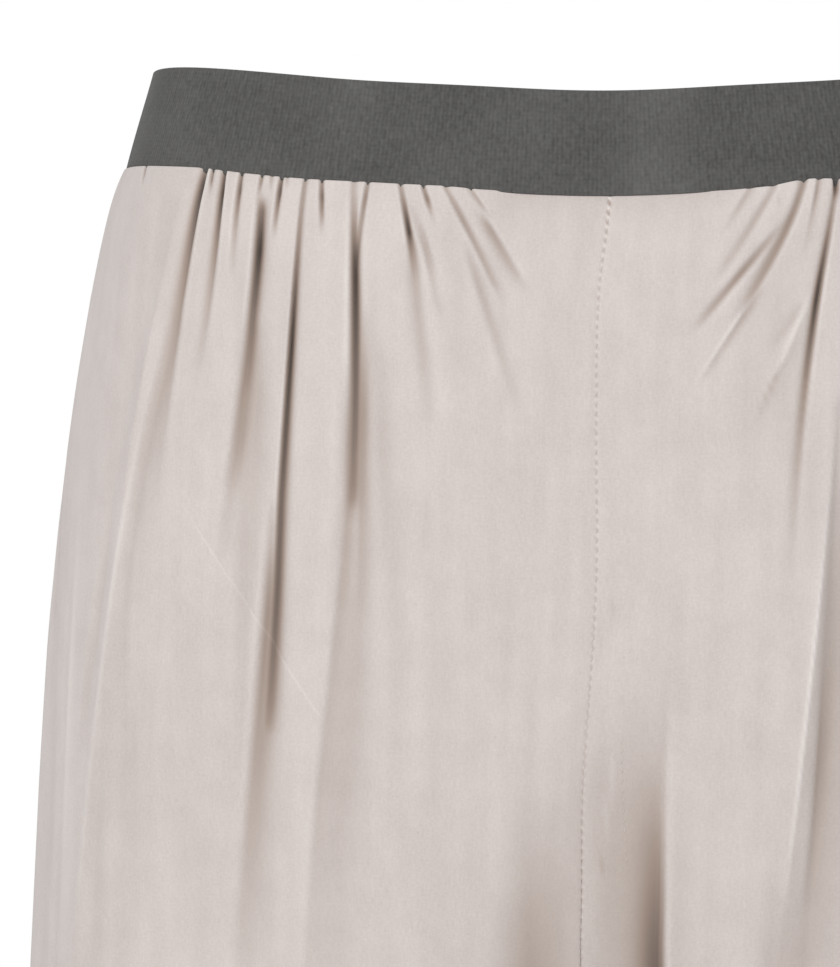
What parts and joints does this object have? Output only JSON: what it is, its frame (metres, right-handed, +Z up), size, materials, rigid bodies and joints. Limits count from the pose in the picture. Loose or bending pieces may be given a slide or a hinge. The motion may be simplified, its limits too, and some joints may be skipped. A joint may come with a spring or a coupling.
{
  "type": "wide-leg pants",
  "caption": "Wide-leg satin pants with an exposed elastic waistband, gathers under the band beside a flat middle, and open hems, filled out as when worn.",
  "frame": {"origin": "middle of the waistband's ring, at the height of the band's middle at the side seams, where the wearer's waist holds it", "axes": "+Z up, out of the waist opening, the legs hanging towards -Z; the front faces -Y; +X is the right side as seen from the front"},
  "size_m": [0.4892, 0.2637, 1.0236],
  "materials": {
    "dusty_greige_satin": "soft fluid satin weave, dusty greige pink, low sheen",
    "charcoal_elastic": "woven elastic, charcoal grey, fine upright ribs"
  },
  "bodies": {
    "root": {"waistband": "charcoal_elastic", "front_left": "dusty_greige_satin", "front_right": "dusty_greige_satin", "back_left": "dusty_greige_satin", "back_right": "dusty_greige_satin"}
  },
  "joints": []
}
